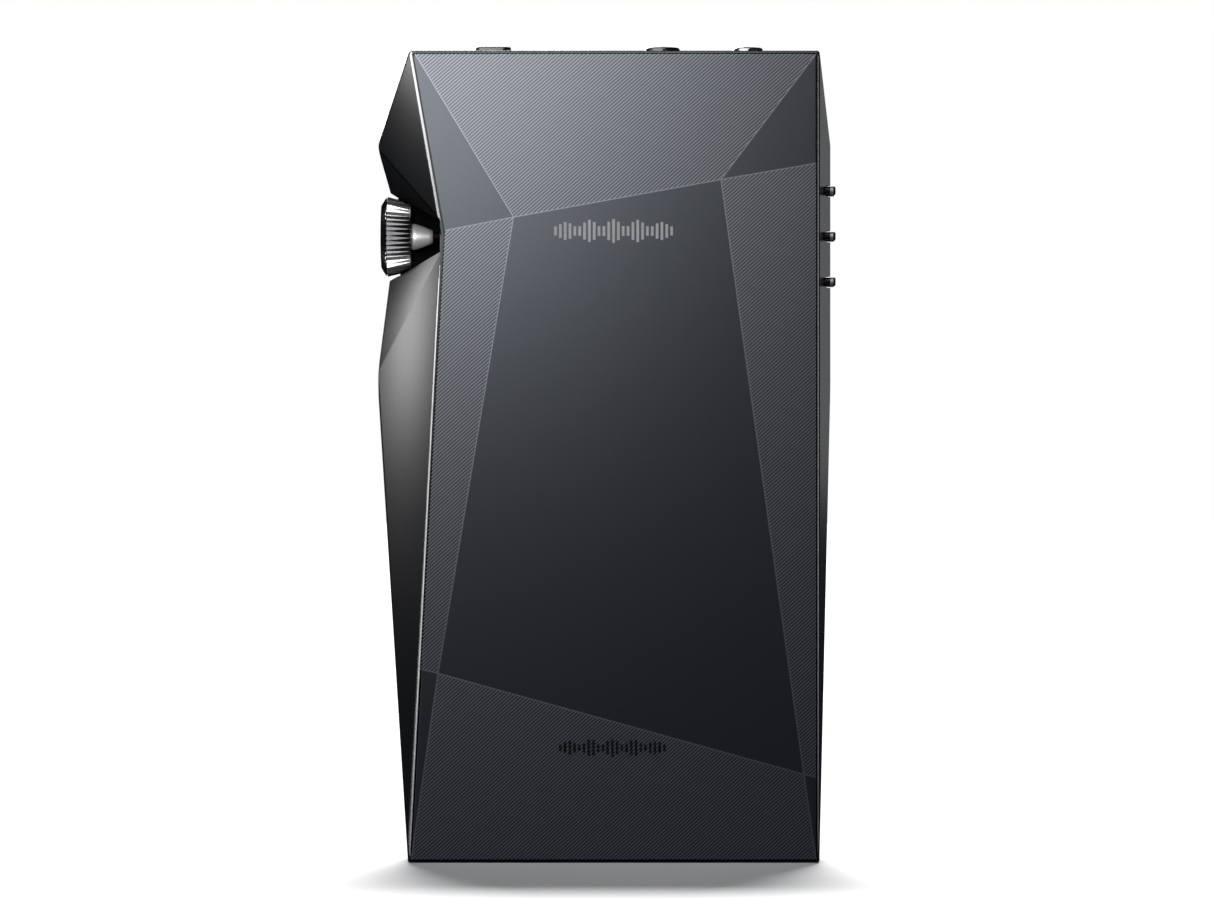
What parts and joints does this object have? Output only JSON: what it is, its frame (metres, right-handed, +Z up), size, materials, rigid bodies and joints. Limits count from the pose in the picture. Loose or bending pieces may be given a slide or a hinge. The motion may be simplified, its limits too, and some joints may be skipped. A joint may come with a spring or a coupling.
{
  "type": "digital audio player",
  "caption": "Pocket music player with a faceted metal frame, glass back and front, a knurled volume crown in a notch, side keys, a power button and headphone sockets.",
  "frame": {"origin": "middle of the underside, on the bounding box's bottom face", "axes": "+Z up through the player's height, -Y out of the screen, +Y out of the glass back, +X towards the volume crown"},
  "size_m": [0.0798, 0.0176, 0.1415],
  "materials": {
    "black_metal": "gloss black anodised",
    "dark_chrome": "polished black chrome",
    "bright_metal": "polished",
    "steel": "satin",
    "brass": "turned",
    "back_glass": "smoked, glossy",
    "front_glass": "black, glossy",
    "film": "fine diagonal lines",
    "black_plastic": "matt",
    "light_alloy": "matt cast",
    "board": "solder mask",
    "pouch": "foil pouch",
    "flex": "amber film",
    "pad": "soft pad"
  },
  "bodies": {
    "player": {"body_frame": "black_metal", "front_glass": "front_glass", "front_adhesive": "black_plastic", "display_panel": "black_plastic", "display_flex": "flex", "mid_plate": "light_alloy", "mid_plate_screw_1": "steel", "mid_plate_screw_2": "steel", "mid_plate_screw_3": "steel", "mid_plate_screw_4": "steel", "battery_cell": "pouch", "battery_board": "board", "battery_flex": "flex", "main_board": "board", "processor_shield": "steel", "power_shield": "steel", "wifi_module": "steel", "thermal_pad": "pad", "audio_board": "board", "dac_shield_left": "steel", "dac_shield_right": "steel", "amp_shield": "steel", "board_link_flex": "flex", "jack_board": "board", "jack_link_flex": "flex", "balanced_jack_body": "black_plastic", "balanced_jack_collar": "dark_chrome", "stereo_jack_body": "black_plastic", "stereo_jack_collar": "bright_metal", "power_switch": "steel", "power_board": "board", "previous_switch": "steel", "play_switch": "steel", "next_switch": "steel", "side_key_board": "flex", "side_key_bracket": "steel", "usb_receptacle": "bright_metal", "usb_tongue": "black_plastic", "usb_board": "board", "card_socket": "steel", "crown_bushing": "brass", "encoder_body": "steel", "encoder_board": "board", "rear_carrier": "light_alloy", "rear_film": "film", "rear_glass": "back_glass", "rear_screw_1": "steel", "rear_screw_2": "steel", "rear_screw_3": "steel", "rear_screw_4": "steel"},
    "crown": {"crown_knob": "dark_chrome", "crown_cap": "bright_metal", "crown_hub": "bright_metal", "crown_shaft": "steel", "crown_clip": "steel", "encoder_rotor": "black_plastic"},
    "previous_key": {"previous_key": "dark_chrome"},
    "play_key": {"play_key": "dark_chrome"},
    "next_key": {"next_key": "dark_chrome"},
    "power_button": {"power_button": "dark_chrome"}
  },
  "joints": [
    {"name": "crown_spin", "type": "hinge", "parent": "player", "child": "crown", "pos_m": [0.0365, 0, 0.10845], "axis": [1, 0, 0], "continuous": true},
    {"name": "previous_key_press", "type": "slide", "parent": "player", "child": "previous_key", "axis": [1, 0, 0], "range_m": [0, 0.0004], "stiffness_N_per_m": 1000, "springref_m": -0.0008},
    {"name": "play_key_press", "type": "slide", "parent": "player", "child": "play_key", "axis": [1, 0, 0], "range_m": [0, 0.0004], "stiffness_N_per_m": 1000, "springref_m": -0.0008},
    {"name": "next_key_press", "type": "slide", "parent": "player", "child": "next_key", "axis": [1, 0, 0], "range_m": [0, 0.0004], "stiffness_N_per_m": 1000, "springref_m": -0.0008},
    {"name": "power_button_press", "type": "slide", "parent": "player", "child": "power_button", "axis": [0, 0, -1], "range_m": [0, 0.0004], "stiffness_N_per_m": 1000, "springref_m": -0.0008}
  ]
}
